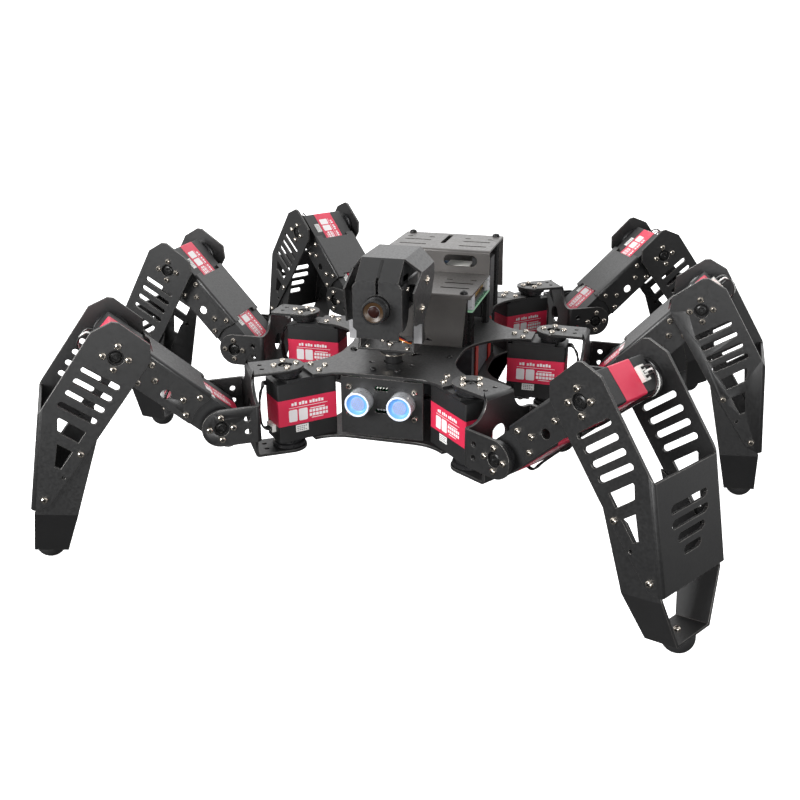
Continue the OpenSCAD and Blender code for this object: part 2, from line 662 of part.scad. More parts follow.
module tibia_shell() color(black) {
  difference() {
    intersection() {
      union() {
        both_sides() across(shell_y - sheet_t, shell_y) shin_plate();
        lower_shin() translate([panel_from, 0, panel_d - sheet_t / 2])
          translate([0, -shell_y, -sheet_t / 2]) cube([panel_to - panel_from, 2 * shell_y, sheet_t]);
      }
      lower_shin() translate([-100, 0, -100]) rotate([90, 0, 90]) linear_extrude(300)
        rotate(90) round_ended(100 + panel_d, 2 * shell_y, sheet_t + 0.7);
    }
    both_sides() translate([0, shell_y - sheet_t, 0]) rotate([-90, 4.5, 0]) horn_holes(sheet_t);
    lower_shin() translate([0, 0, panel_d - 5]) linear_extrude(10) panel_slots();
  }
}

bracket_y = shell_y - sheet_t - 0.05;
bracket_t = 1.5;
bracket_turn = 98;              // the foot bracket's sides lean in below here
bracket_end = 127;
bracket_low_y = 14.8;
foot_flat = shin_len - bracket_end - gap;

module tibia_hardware() color(steel) {
  horn_h = bracket_y + 0.05 - servo_h / 2 - 0.35;
  both_sides() {
    translate([0, shell_y - sheet_t, 0]) rotate([-90, 4.5, 0]) horn_set(sheet_t, horn_h, 3.2);
    for (p = shell_screw_points) translate([p.x, shell_y, p.y]) rotate([-90, 0, 0])
      screw(shank_len = sheet_t + bracket_t + 0.05);
  }
  lower_shin() translate([bracket_end - bracket_t, 0, foot_drop]) rotate([0, -90, 0])
    screw(shank_len = bracket_t + 2);
}

module foot_bracket() color(black) {
  inner = bracket_y - bracket_t;
  low_inner = bracket_low_y - bracket_t;
  difference() {
    lower_shin() intersection() {
      // front view: straight sides that lean in to the foot
      translate([0, 0, -20]) linear_extrude(80) difference() {
        polygon([[40, -bracket_y], [bracket_turn, -bracket_y], [bracket_end, -bracket_low_y],
                 [bracket_end, bracket_low_y], [bracket_turn, bracket_y], [40, bracket_y]]);
        polygon([[39, -inner], [bracket_turn - 0.4, -inner], [bracket_end - bracket_t, -low_inner],
                 [bracket_end - bracket_t, low_inner], [bracket_turn - 0.4, inner], [39, inner]]);
      }
      // side view
      across(-40, 40) polygon([[49.6, 5.8], [94.8, 12.2], [bracket_end, 15.9], [bracket_end, 35.1],
                               [97, 36.6], [60, 20]]);
    }
    for (p = shell_screw_points) translate([p.x, 0, p.y]) rotate([90, 0, 0])
      cylinder(h = 80, r = 1.35, center = true);
    lower_shin() translate([bracket_end - 5, 0, foot_drop]) rotate([0, 90, 0]) cylinder(h = 10, r = 1.35);
  }
}

// rubber foot, a ball cut flat where it meets its bracket
module foot() color([0.06, 0.06, 0.06]) lower_shin()
  translate([shin_len, 0, foot_drop]) rotate([0, 90, 0]) rotate_extrude($fn = 96) difference() {
    circle(foot_r, $fn = 96);
    translate([-2 * foot_r, -foot_r]) square(2 * foot_r);
    translate([-1, -2 * foot_r]) square([2 * foot_r, 2 * foot_r - foot_flat]);
    translate([-1, -foot_flat - 1]) square([1 + 1.25, 3.5]);
  }

body_plates();
body_servos();
body_hardware();
front_panel();
ultrasonic_sensor();
battery();
controller_board();
electronics_cover();
head_yoke();
tilt_servo();
camera_hood();
camera_module();
for (leg = [0:5]) {
  at_hip(leg) coxa_bracket();
  at_hip(leg) coxa_hardware();
  at_thigh(leg) femur_servos();
  at_thigh(leg) femur_frame();
  at_knee(leg) tibia_shell();
  at_knee(leg) tibia_hardware();
  at_knee(leg) foot_bracket();
  at_knee(leg) foot();
}
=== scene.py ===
"""Looks of the six-legged walking robot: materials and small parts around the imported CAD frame."""
import json
import math

import bmesh
import bpy
from mathutils import Matrix, Vector


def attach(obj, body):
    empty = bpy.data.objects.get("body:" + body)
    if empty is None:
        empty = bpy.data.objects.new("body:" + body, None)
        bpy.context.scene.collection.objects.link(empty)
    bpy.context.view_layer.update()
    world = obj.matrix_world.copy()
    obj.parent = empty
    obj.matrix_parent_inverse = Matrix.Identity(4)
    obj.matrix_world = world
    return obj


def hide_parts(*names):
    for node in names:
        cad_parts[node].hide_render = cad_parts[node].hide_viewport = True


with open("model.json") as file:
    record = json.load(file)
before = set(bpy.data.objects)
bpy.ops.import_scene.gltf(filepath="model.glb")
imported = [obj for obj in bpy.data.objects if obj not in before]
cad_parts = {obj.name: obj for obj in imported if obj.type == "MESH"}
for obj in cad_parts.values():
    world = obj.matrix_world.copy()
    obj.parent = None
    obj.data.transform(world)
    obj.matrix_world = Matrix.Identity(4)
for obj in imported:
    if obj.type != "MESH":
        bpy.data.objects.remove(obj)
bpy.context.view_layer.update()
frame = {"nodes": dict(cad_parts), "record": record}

MM = 0.001


# ---- camera, floor and light -------------------------------------------------------------------

CAMERA_PLACE = Vector((0.1627, -0.6218, 0.2992))
CAMERA_AIM = Vector((-0.01847, 0.0, 0.04192))
CAMERA_ROLL = math.radians(-0.34)
CAMERA_LENS = 42.09
# brightness of the room below and above the horizon, and of the backdrop behind the robot
ROOM_LOW, ROOM_UP, BACKDROP = 0.09, 0.16, 1.35
# name, place, aim, size and power of each soft box
SOFT_BOXES = [
    ("key", (-1.0, -1.5, 0.75), (0, 0, 0.08), (0.9, 0.9), 44),
    ("fill", (0.8, -1.8, 0.32), (0, 0, 0.08), (1.0, 0.5), 20),
    ("top", (0.1, 0.9, 1.6), (0, 0, 0.05), (1.8, 1.2), 5),
]


def look_at(obj, place, aim, roll=0.0):
    """Puts obj at place with its -Z axis on aim, turned by roll about that axis."""
    turn = (aim - place).to_track_quat("-Z", "Y").to_matrix().to_4x4()
    obj.matrix_world = Matrix.Translation(place) @ turn @ Matrix.Rotation(roll, 4, "Z")


def make_camera():
    data = bpy.data.cameras.new("camera")
    data.lens = CAMERA_LENS
    data.sensor_width = 36.0
    data.clip_start = 0.01
    camera = bpy.data.objects.new("camera", data)
    bpy.context.scene.collection.objects.link(camera)
    look_at(camera, CAMERA_PLACE, CAMERA_AIM, CAMERA_ROLL)
    bpy.context.scene.camera = camera


def area_light(name, place, aim, size, power):
    data = bpy.data.lights.new(name, "AREA")
    data.shape = "RECTANGLE"
    data.size, data.size_y = size
    data.energy = power
    light = bpy.data.objects.new(name, data)
    bpy.context.scene.collection.objects.link(light)
    look_at(light, Vector(place), Vector(aim))


def make_studio():
    """A pale backdrop behind and above the robot, a dim room in front of it and three soft boxes."""
    world = bpy.data.worlds.new("studio")
    world.use_nodes = True
    tree = world.node_tree

    def node(kind, **sockets):
        made = tree.nodes.new(kind)
        for key, value in sockets.items():
            made.inputs[int(key[1:])].default_value = value
        return made

    direction = node("ShaderNodeSeparateXYZ")
    tree.links.new(node("ShaderNodeTexCoord").outputs["Generated"], direction.inputs[0])
    behind = node("ShaderNodeMapRange", _1=-0.35, _2=0.55)
    above = node("ShaderNodeMapRange", _1=-0.3, _2=0.0)
    tree.links.new(direction.outputs["Y"], behind.inputs[0])
    tree.links.new(direction.outputs["Z"], above.inputs[0])
    backdrop = node("ShaderNodeMath")
    backdrop.operation = "MULTIPLY"
    tree.links.new(behind.outputs[0], backdrop.inputs[0])
    tree.links.new(above.outputs[0], backdrop.inputs[1])
    room = node("ShaderNodeMath", _1=ROOM_UP, _2=ROOM_LOW)
    room.operation = "MULTIPLY_ADD"
    tree.links.new(above.outputs[0], room.inputs[0])
    total = node("ShaderNodeMath", _1=BACKDROP)
    total.operation = "MULTIPLY_ADD"
    tree.links.new(backdrop.outputs[0], total.inputs[0])
    tree.links.new(room.outputs[0], total.inputs[2])
    tree.links.new(total.outputs[0], tree.nodes["Background"].inputs["Strength"])
    tree.nodes["Background"].inputs["Color"].default_value = (1.0, 1.0, 1.0, 1.0)
    bpy.context.scene.world = world
    for box in SOFT_BOXES:
        area_light(*box)
    bpy.context.scene.view_settings.view_transform = "Standard"


def make_floor():
    """Glowing white paper without a horizon, which the robot's surfaces don't mirror."""
    bpy.ops.mesh.primitive_plane_add(size=60)
    floor = bpy.context.object
    floor.name = "floor"
    floor.visible_glossy = False
    floor.visible_diffuse = False
    s = Shader("floor_paper", (0.9, 0.9, 0.9), 0.9)
    s.vary_color(s.ramp(s.noise(3), 0, 1), (0.88, 0.88, 0.88), (0.92, 0.92, 0.92))
    s.set(Emission_Color=(1.0, 1.0, 1.0, 1.0), Emission_Strength=1.0)
    floor.data.materials.append(s.material)


# ---- materials ---------------------------------------------------------------------------------

class Shader:
    """A principled material whose node graph is built in a few short calls."""

    def __init__(self, name, color, roughness, metallic=0.0):
        self.material = bpy.data.materials.new(name)
        self.material.use_nodes = True
        self.tree = self.material.node_tree
        self.bsdf = self.tree.nodes["Principled BSDF"]
        self.bsdf.inputs["Metallic"].default_value = metallic
        self.bsdf.inputs["Roughness"].default_value = roughness
        self.bsdf.inputs["Base Color"].default_value = (*color, 1.0)
        self.coords = self.add("ShaderNodeTexCoord").outputs["Object"]

    def add(self, kind, **settings):
        node = self.tree.nodes.new(kind)
        for key, value in settings.items():
            setattr(node, key, value)
        return node

    def link(self, source, target):
        self.tree.links.new(source, target)

    def noise(self, scale, detail=4.0, stretch=None):
        """Noise in the object's own metres; stretch squeezes it along an axis."""
        source = self.coords
        if stretch:
            mapping = self.add("ShaderNodeMapping")
            mapping.inputs["Scale"].default_value = stretch
            self.link(source, mapping.inputs["Vector"])
            source = mapping.outputs["Vector"]
        node = self.add("ShaderNodeTexNoise")
        node.inputs["Scale"].default_value = scale
        node.inputs["Detail"].default_value = detail
        self.link(source, node.inputs["Vector"])
        return node.outputs["Fac"]

    def ramp(self, source, low, high, start=0.3, end=0.7):
        """Maps start..end of source to low..high."""
        node = self.add("ShaderNodeMapRange")
        for key, value in (("From Min", start), ("From Max", end), ("To Min", low), ("To Max", high)):
            node.inputs[key].default_value = value
        self.link(source, node.inputs["Value"])
        return node.outputs["Result"]

    def vary_color(self, source, dark, light):
        """Blends between two colours by source."""
        node = self.add("ShaderNodeMix", data_type="RGBA")
        node.inputs["A"].default_value = (*dark, 1.0)
        node.inputs["B"].default_value = (*light, 1.0)
        self.link(source, node.inputs["Factor"])
        self.link(node.outputs["Result"], self.bsdf.inputs["Base Color"])

    def vary_roughness(self, source, low, high):
        self.link(self.ramp(source, low, high), self.bsdf.inputs["Roughness"])

    def bump(self, source, strength, distance=0.0001):
        node = self.add("ShaderNodeBump")
        node.inputs["Strength"].default_value = strength
        node.inputs["Distance"].default_value = distance
        self.link(source, node.inputs["Height"])
        self.link(node.outputs["Normal"], self.bsdf.inputs["Normal"])

    def set(self, **sockets):
        for key, value in sockets.items():
            self.bsdf.inputs[key.replace("_", " ")].default_value = value
        return self


def shade(color, factor):
    return tuple(min(1.0, c * factor) for c in color)


def surface(name, color, roughness, metallic=0.0, cloud=130, spread=0.12, grain=1500, bump=0.1, stretch=None):
    """One finish: a cloudy tone, a finer patchiness in its gloss and a grain you can see close up."""
    s = Shader(name, color, roughness, metallic)
    s.vary_color(s.ramp(s.noise(cloud), 0, 1), shade(color, 1 - spread), shade(color, 1 + spread))
    s.vary_roughness(s.noise(grain / 4, 3, stretch), max(0.03, roughness - 0.06), roughness + 0.08)
    s.bump(s.noise(grain, 2, stretch), bump, 0.00004)
    return s


def make_materials():
    black = (0.0105, 0.0105, 0.0108)
    fine = {
        "sheet": surface("black_anodised", black, 0.40, cloud=60, grain=2600, bump=0.14),
        # lighter edge materials for the bevels: bare metal at cut edges, and a painted highlight line where
        # they run along folds
        "edge": surface("sheet_bare_edge_and_highlight", (0.11, 0.105, 0.10), 0.3, 0.6, cloud=700, spread=0.35),
        "cover": surface("grey_anodised", (0.10, 0.094, 0.09), 0.36, 0.35, cloud=60, grain=2600),
        "cover_bare_edge_and_highlight": surface("cover_bare_edge_and_highlight", (0.22, 0.2, 0.16), 0.3, 0.5, cloud=700, spread=0.3),
        "case": surface("servo_plastic", (0.014, 0.0142, 0.0147), 0.46, grain=3600, bump=0.25),
        # a ring round the output painted darker than the case as recess shade
        "case_dark": surface("servo_painted_recess_shade", (0.008, 0.008, 0.008), 0.5),
        "label": surface("label_film", (0.66, 0.026, 0.075), 0.38, cloud=40, spread=0.06, bump=0.04),
        "print": surface("label_print", (0.86, 0.82, 0.83), 0.4, spread=0.04, bump=0.02),
        "sticker": surface("paper_sticker", (0.8, 0.8, 0.78), 0.55, spread=0.04),
        "grey_print": surface("sticker_print", (0.22, 0.22, 0.23), 0.5),
        "horn": surface("black_horn", (0.017, 0.017, 0.018), 0.3, 0.2, grain=2000),
        "nickel": surface("nickel", (0.80, 0.73, 0.64), 0.2, 1.0, cloud=500, grain=2600, bump=0.08),
        "black_screw": surface("black_oxide", (0.012, 0.012, 0.012), 0.3, 0.4),
        # near-black painted shade for recesses, holes, slots and openings
        "socket": surface("painted_hole_shade", (0.006, 0.006, 0.006), 0.5),
        "aluminium": surface("drawn_aluminium", (0.46, 0.46, 0.47), 0.32, 0.55, stretch=(1, 1, 30)),
        "bright": surface("bright_post", (0.62, 0.63, 0.66), 0.3, 0.5, cloud=300, bump=0.02),
        "board": surface("solder_mask", (0.012, 0.13, 0.055), 0.25, spread=0.2, bump=0.06),
        "board_edge": surface("board_edge", (0.33, 0.62, 0.40), 0.4, spread=0.15),
        "chip": surface("chip_resin", (0.013, 0.013, 0.014), 0.5, grain=4000),
        "gold": surface("gold_contact", (0.75, 0.55, 0.25), 0.28, 1.0),
        "film": surface("battery_film", (0.10, 0.10, 0.115), 0.34, spread=0.2),
        "strap": surface("red_strap", (0.42, 0.018, 0.012), 0.55, grain=3000, bump=0.5),
        "rubber": surface("foot_rubber", (0.012, 0.012, 0.0125), 0.62, grain=2400, bump=0.5),
        "barrel": surface("lens_barrel", (0.014, 0.014, 0.0145), 0.3, grain=3000),
        "nylon": surface("white_nylon", (0.8, 0.79, 0.75), 0.45, spread=0.05),
        "wire_black": surface("wire_black", (0.012, 0.012, 0.012), 0.32, cloud=300),
        "wire_white": surface("wire_white", (0.7, 0.7, 0.68), 0.4, cloud=300),
        "wire_red": surface("wire_red", (0.5, 0.015, 0.015), 0.4, cloud=300),
        "wire_orange": surface("wire_orange", (0.85, 0.3, 0.02), 0.4, cloud=300),
        "blue": surface("blue_shell", (0.02, 0.09, 0.22), 0.35),
    }
    fine["sheet"].set(Specular_IOR_Level=0.7)
    finished = {key: s.material for key, s in fine.items()}
    finished["glass"] = lens_glass()
    finished["amber"] = amber_glass()
    finished["glow"] = sensor_glow("sensor_rim_glow", (0.72, 0.78, 0.92), 0.16)
    finished["bowl"] = sensor_glow("sensor_bowl", (0.13, 0.34, 0.72), 0.3)
    finished["disc"] = sensor_glow("sensor_disc", (0.27, 0.37, 0.66), 0.3)
    return finished


def lens_glass():
    s = surface("lens_glass", (0.02, 0.006, 0.005), 0.4, cloud=200, bump=0.0)
    s.set(Specular_IOR_Level=0.1, Coat_Weight=0.02, Coat_Roughness=0.06)
    return s.material


def amber_glass():
    s = surface("lens_amber", (0.045, 0.024, 0.010), 0.34, cloud=200, bump=0.0)
    s.set(Specular_IOR_Level=0.4)
    return s.material


def sensor_glow(name, color, strength):
    s = surface(name, color, 0.35, cloud=400, spread=0.1, bump=0.05)
    s.set(Emission_Color=(*color, 1.0), Emission_Strength=strength)
    return s.material


SLOT_MATERIAL = {
    "black_sheet": "sheet", "grey_sheet": "cover", "bright_aluminium": "aluminium",
    "servo_case": "case", "nickel_steel": "nickel", "battery_wrap": "film", "circuit_board": "board",
    "lens_barrel": "barrel", "foot_rubber": "rubber",
}
# bevel materials: bare metal on cut edges, painted highlight on folds
EDGE_AND_HIGHLIGHT_MATERIAL = {"black_sheet": "edge", "grey_sheet": "cover_bare_edge_and_highlight"}


def dress_cad_nodes():
    """Gives every CAD node its slot's material, and sheet parts a fine bevel in a lighter edge material: bare
    metal at cut edges, and a painted highlight line along the folds.
    """
    slots = {part["node"]: part["material_slot"] for part in frame["record"]["subparts"]}
    for name, node in frame["nodes"].items():
        slot = slots[name]
        node.data.materials.clear()
        node.data.materials.append(MATERIALS[SLOT_MATERIAL[slot]])
        if slot in EDGE_AND_HIGHLIGHT_MATERIAL:
            node.data.materials.append(MATERIALS[EDGE_AND_HIGHLIGHT_MATERIAL[slot]])
            soften(node, 0.05 if slot == "grey_sheet" else 0.2)
    darken_slots(frame["nodes"]["electronics_cover"])


def darken_slots(cover):
    """Gives the walls inside the cover's slots a near-black finish, so that they read as shadow."""
    cover.data.materials.append(MATERIALS["socket"])
    for face in cover.data.polygons:
        x, y, z = face.center / MM
        in_sheet = any(deck - COVER_T < z < deck for deck in (LOW_DECK_Z, HIGH_DECK_Z))
        in_area = abs(x - BOARD_X) < COVER_SLOT_HALF and COVER_SLOT_FRONT < y < COVER_SLOT_BACK
        if in_sheet and in_area and abs(face.normal.z) < 0.3:
            face.material_index = 2


def soften(node, width):
    weld = node.modifiers.new("weld", "WELD")
    weld.merge_threshold = 0.01 * MM
    flat = node.modifiers.new("flat", "DECIMATE")
    flat.decimate_type = "DISSOLVE"
    flat.angle_limit = math.radians(0.5)
    bevel = node.modifiers.new("bevel", "BEVEL")
    bevel.width = width * MM
    bevel.segments = 2
    bevel.limit_method = "ANGLE"
    bevel.angle_limit = math.radians(50)
    bevel.use_clamp_overlap = False
    bevel.harden_normals = True
    # the bevel faces take the lighter edge material: bare metal at cut edges, painted highlight at folds
    bevel.material = 1


# ---- shapes ------------------------------------------------------------------------------------

IDENTITY = Matrix.Identity(4)


def move(x, y, z):
    return Matrix.Translation((x, y, z))


def turn(axis, degrees):
    return Matrix.Rotation(math.radians(degrees), 4, axis)


def rounded(width, depth, r, steps=4):
    """Outline of a rectangle round the origin with round corners, counter-clockwise."""
    points = []
    for quarter, (sx, sy) in enumerate(((1, 1), (-1, 1), (-1, -1), (1, -1))):
        for i in range(steps + 1):
            a = math.radians(90 * (quarter + i / steps))
            points.append((sx * (width / 2 - r) + r * math.cos(a), sy * (depth / 2 - r) + r * math.sin(a)))
    return points


def smooth_path(points, steps=6):
    """A Catmull-Rom curve through points."""
    p = [Vector(q) for q in points]
    p = [2 * p[0] - p[1]] + p + [2 * p[-1] - p[-2]]
    path = []
    for a, b, c, d in zip(p, p[1:], p[2:], p[3:]):
        for i in range(steps):
            t = i / steps
            path.append(0.5 * (2 * b + (c - a) * t + (2 * a - 5 * b + 4 * c - d) * t ** 2
                               + (3 * b - a - 3 * c + d) * t ** 3))
    return path + [p[-2]]


class Shape:
    """Faces in millimetres, each with the name of its finish, built from turned, cut and bent forms."""

    def __init__(self):
        self.verts, self.faces, self.looks = [], [], []

    def add(self, verts, faces, look, place=IDENTITY):
        start = len(self.verts)
        self.verts += [place @ Vector(v) for v in verts]
        flip = place.determinant() < 0
        for face in faces:
            face = [start + i for i in face]
            self.faces.append(face[::-1] if flip else face)
        self.looks += [look] * len(faces)
        return self

    def stamp(self, other, place=IDENTITY):
        for face, look in zip(other.faces, other.looks):
            self.looks.append(look)
            face = [len(self.verts) + i for i in face]
            self.faces.append(face[::-1] if place.determinant() < 0 else face)
        self.verts += [place @ v for v in other.verts]
        return self

    def lathe(self, profile, look, place=IDENTITY, steps=32):
        """Turns (radius, height) points about Z; a radius of 0 closes that end."""
        verts, rings = [], []
        for r, z in profile:
            count = 1 if r == 0 else steps
            rings.append((len(verts), count))
            for i in range(count):
                a = 2 * math.pi * i / steps
                verts.append((r * math.cos(a), r * math.sin(a), z))
        faces = []
        for (a, na), (b, nb) in zip(rings, rings[1:]):
            for i in range(steps):
                j = (i + 1) % steps
                ring = [a + i % na, a + j % na, b + j % nb, b + i % nb]
                face = [v for k, v in enumerate(ring) if v not in ring[:k]]
                if len(face) > 2:
                    faces.append(face)
        return self.add(verts, faces, look, place)

    def prism(self, outline, z0, z1, look, place=IDENTITY, bevel=0.0):
        """Cuts a closed outline out of stock from z0 to z1 and breaks its edges."""
        bm = bmesh.new()
        low = [bm.verts.new((x, y, z0)) for x, y in outline]
        high = [bm.verts.new((x, y, z1)) for x, y in outline]
        bm.faces.new(low[::-1])
        bm.faces.new(high)
        for i in range(len(low)):
            j = (i + 1) % len(low)
            bm.faces.new((low[i], low[j], high[j], high[i]))
        if bevel:
            sharp = [e for e in bm.edges if e.calc_face_angle(0) > math.radians(30)]
            bmesh.ops.bevel(bm, geom=sharp, offset=bevel, segments=2, profile=0.5, affect="EDGES")
        bmesh.ops.recalc_face_normals(bm, faces=bm.faces[:])
        bm.verts.index_update()
        self.add([v.co for v in bm.verts], [[v.index for v in f.verts] for f in bm.faces], look, place)
        bm.free()
        return self

    def box(self, low, high, look, place=IDENTITY, bevel=0.15):
        outline = [(low[0], low[1]), (high[0], low[1]), (high[0], high[1]), (low[0], high[1])]
        return self.prism(outline, low[2], high[2], look, place, bevel)

    def bar(self, u0, u1, v0, v1, look, place=IDENTITY, height=0.02):
        """A printed bar: a thin rectangle that lies on the plane w = 0."""
        return self.box((u0, v0, 0), (u1, v1, height), look, place, 0)

    def tube(self, points, radius, look, place=IDENTITY, steps=8):
        path = smooth_path(points)
        verts, side = [], None
        for i, p in enumerate(path):
            along = (path[min(i + 1, len(path) - 1)] - path[max(i - 1, 0)]).normalized()
            if side is None:
                side = along.orthogonal().normalized()
            side = (side - along * side.dot(along)).normalized()
            up = along.cross(side)
            for k in range(steps):
                a = 2 * math.pi * k / steps
                verts.append(p + radius * (math.cos(a) * side + math.sin(a) * up))
        faces = []
        for i in range(len(path) - 1):
            a, b = i * steps, (i + 1) * steps
            faces += [[a + k, a + (k + 1) % steps, b + (k + 1) % steps, b + k] for k in range(steps)]
        faces.append(list(range(steps))[::-1])
        faces.append([(len(path) - 1) * steps + k for k in range(steps)])
        return self.add(verts, faces, look, place)

    def mesh(self, name):
        mesh = bpy.data.meshes.new(name)
        mesh.from_pydata([v * MM for v in self.verts], [], self.faces)
        looks = sorted(set(self.looks))
        for look in looks:
            mesh.materials.append(MATERIALS[look])
        for polygon, look in zip(mesh.polygons, self.looks):
            polygon.material_index = looks.index(look)
        mesh.shade_smooth()
        mesh.set_sharp_from_angle(angle=math.radians(32))
        mesh.update()
        return mesh


def show(name, mesh, body, place=IDENTITY, stands_for=()):
    """Adds a piece at place (millimetres) that rides on body."""
    obj = bpy.data.objects.new(name, mesh)
    bpy.context.scene.collection.objects.link(obj)
    place = place.copy()
    place.translation *= MM
    obj.matrix_world = place
    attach(obj, body)
    if stands_for:
        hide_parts(*stands_for)
    return obj


# ---- where things are, in millimetres: the same values as the CAD source ------------------------

LEGS = [f"{row}_{side}" for side in ("left", "right") for row in ("front", "middle", "rear")]
CASE_LEN, CASE_W, CASE_H, CASE_END = 40.0, 20.0, 38.6, 10.0
RIM_H = 1.9
DECK_Z, PLATE_T = 58.0, 2.0
TOP_Z = DECK_Z + CASE_H + RIM_H
SKIN_Z = TOP_Z + PLATE_T
COXA_LEN, FEMUR_LEN, THIGH_Z = 45.2, 74.4, 80.0
EAR_T, EAR_LOW_Z, EAR_TOP_Z, SIDE_Y = 2.0, 50.5, 105.8, 26.0
HORN_R = 10.5
SHIN_LEN, FOOT_DROP, FOOT_R, SHIN_BEND = 129.0, 25.6, 9.0, 10.2
SHEET_T, SHELL_Y = 1.8, 28.0
FRAME_HALF = 20.85
PAN_Y, PAN_FACE_Z, YOKE_T = 77.5, 112.5, 1.5
LENS_Z = 144.3
TILT_Y, TILT_Z = -78.5, 147.0
PANEL_Y, SENSOR_X, SENSOR_Z = -104.6, 13.5, 82.4
BOARD_X, BOARD_Z, BOARD_T = 4.5, 123.0, 1.6
LOW_DECK_Z, HIGH_DECK_Z, COVER_T = 136.5, 153.0, 1.5
COVER_SLOT_HALF, COVER_SLOT_FRONT, COVER_SLOT_BACK = 34.5, -38.5, 62     # the area that holds its slots
COVER_POST_GAP = 0.05
FIXINGS = [(20, 6.6), (20, -6.6), (27, 0)]
SHELL_SCREWS = [(60.3, 3.5), (92, 15.7)]
PANEL_SCREWS = [(x * 21.3, z) for x in (-1, 1) for z in (73, 91)]
WING_SCREWS = [(-79, 155.8), (-90.8, 140.9)]
STANDOFFS = [(x, y) for x in (-33, 33) for y in (-61, 82)]
BOARD_POSTS = [(BOARD_X + x, y) for x in (-35, 35) for y in (-29, 23)]
LOW_POSTS = [(BOARD_X + x, -35.6) for x in (-31.7, 31.7)]
HIGH_POSTS = [(BOARD_X + x, 72) for x in (-32.3, 32.3)]
SERVO_YAW = {"front_left": 135, "middle_left": 180, "rear_left": 225,
             "front_right": 45, "middle_right": 0, "rear_right": -45}

JOINTS = {joint["name"]: joint for joint in frame["record"]["behaviour"]["joints"]}


def joint_place(name):
    return Vector(JOINTS[name]["pos_m"]) / MM


def axes_at(origin, x, y):
    """The matrix whose X and Y axes are x and y."""
    return Matrix.Translation(origin) @ Matrix((x, y, x.cross(y))).transposed().to_4x4()


def leg_places(leg):
    """Matrices of a leg's hip, thigh and knee: X runs outward along the link and Y across the leg."""
    hip, thigh, knee = (joint_place(f"{leg}_{joint}") for joint in ("hip_swing", "hip_lift", "knee"))
    across = -Vector(JOINTS[f"{leg}_knee"]["axis"]).normalized()
    outward = (knee - thigh)
    outward.z = 0
    outward.normalize()
    reach = math.hypot(SHIN_LEN, FOOT_DROP)
    down = (math.asin((FOOT_R - knee.z) / reach) - math.atan(FOOT_DROP / SHIN_LEN)
            + math.radians(SHIN_BEND))
    shin = outward * math.cos(down) + Vector((0, 0, math.sin(down)))
    hip.z = 0
    return {"hip": axes_at(hip, outward, across),
            "thigh": axes_at(thigh, (knee - thigh).normalized(), across),
            "knee": axes_at(knee, shin, across)}


# ---- screws, posts and horns ---------------------------------------------------------------------

def filled_ring(outer, inner, z, shape, look):
    """The flat face at height z between an outer and an inner outline."""
    bm = bmesh.new()
    for outline in (outer, inner):
        ring = [bm.verts.new((x, y, z)) for x, y in outline]
        for a, b in zip(ring, ring[1:] + ring[:1]):
            bm.edges.new((a, b))
    bmesh.ops.triangle_fill(bm, use_beauty=True, edges=bm.edges[:])
    bmesh.ops.recalc_face_normals(bm, faces=bm.faces[:])
    bm.verts.index_update()
    up = all(f.normal.z > 0 for f in bm.faces)
    faces = [[v.index for v in (f.verts if up else reversed(f.verts))] for f in bm.faces]
    shape.add([v.co for v in bm.verts], faces, look)
    bm.free()


def circle(r, steps):
    angles = [2 * math.pi * i / steps for i in range(steps)]
    return [(r * math.cos(a), r * math.sin(a)) for a in angles]


def cross(reach, half):
    quarter = [(reach, half), (half, half), (half, reach)]
    outline = []
    for _ in range(4):
        outline += quarter
        quarter = [(-y, x) for x, y in quarter]
    return outline


def screw(head_r=1.95, head_h=1.4, look="nickel", drive=None):
    """A pan head on z = 0 with a recess of the outline drive, a cross unless told otherwise."""
    drive = drive or cross(head_r * 0.52, head_r * 0.15)
    top_r = head_r * 0.64
    steps = 24
    s = Shape()
    s.lathe([(head_r * 0.9, -0.1), (head_r * 0.97, 0.0), (head_r, head_h * 0.3),
             (head_r * 0.95, head_h * 0.58), (head_r * 0.83, head_h * 0.82), (top_r, head_h)],
            look, steps=steps)
    filled_ring(circle(top_r, steps), drive, head_h, s, look)
    count = len(drive)
    floor_z = head_h * 0.35
    verts = [(x, y, head_h) for x, y in drive] + [(x * 0.72, y * 0.72, floor_z) for x, y in drive]
    # the cross recess is painted near-black as shade
    s.add(verts, [[(i + 1) % count, i, count + i, count + (i + 1) % count] for i in range(count)], "socket")
    s.add(verts[count:] + [(0, 0, floor_z)], [[i, (i + 1) % count, count] for i in range(count)], "socket")
    return s


def hexagon(r):
    return circle(r, 6)


def make_screws():
    return {"pan": screw(), "black": screw(look="black_screw"), "small": screw(1.6, 1.1),
            "centre": screw(3.6, 1.25, "black_screw"),
            "hex": screw(2.75, 1.9, "black_screw", hexagon(1.25))}


def horn(height):
    """A black output horn whose face is at z = 0, with a stepped rim and a bright chamfer."""
    s = Shape()
    s.lathe([(3.2, -height), (8.4, -height), (8.7, -height + 0.3), (8.7, -3.1), (9.0, -2.9), (10.1, -2.8),
             (HORN_R, -2.5), (HORN_R, -0.5)], "horn", steps=48)
    s.lathe([(HORN_R, -0.5), (10.15, -0.1), (2.2, -0.1)], "horn", steps=48)
    return s


def horn_set(sheet_t, height, spin=0.0):
    """A horn under a sheet with its four screws outside and its own black screw in the middle hole."""
    s = Shape()
    s.stamp(horn(height))
    for i in range(4):
        s.stamp(SCREWS["pan"], turn("Z", spin + 90 * i) @ move(7, 0, sheet_t) @ turn("Z", 20 + 67 * i))
    s.stamp(SCREWS["centre"], turn("Z", 30))
    return s


def post(low, high, look, r=2.75):
    s = Shape()
    s.prism(hexagon(r), low, high, look, bevel=0.25)
    return s


# ---- servos --------------------------------------------------------------------------------------

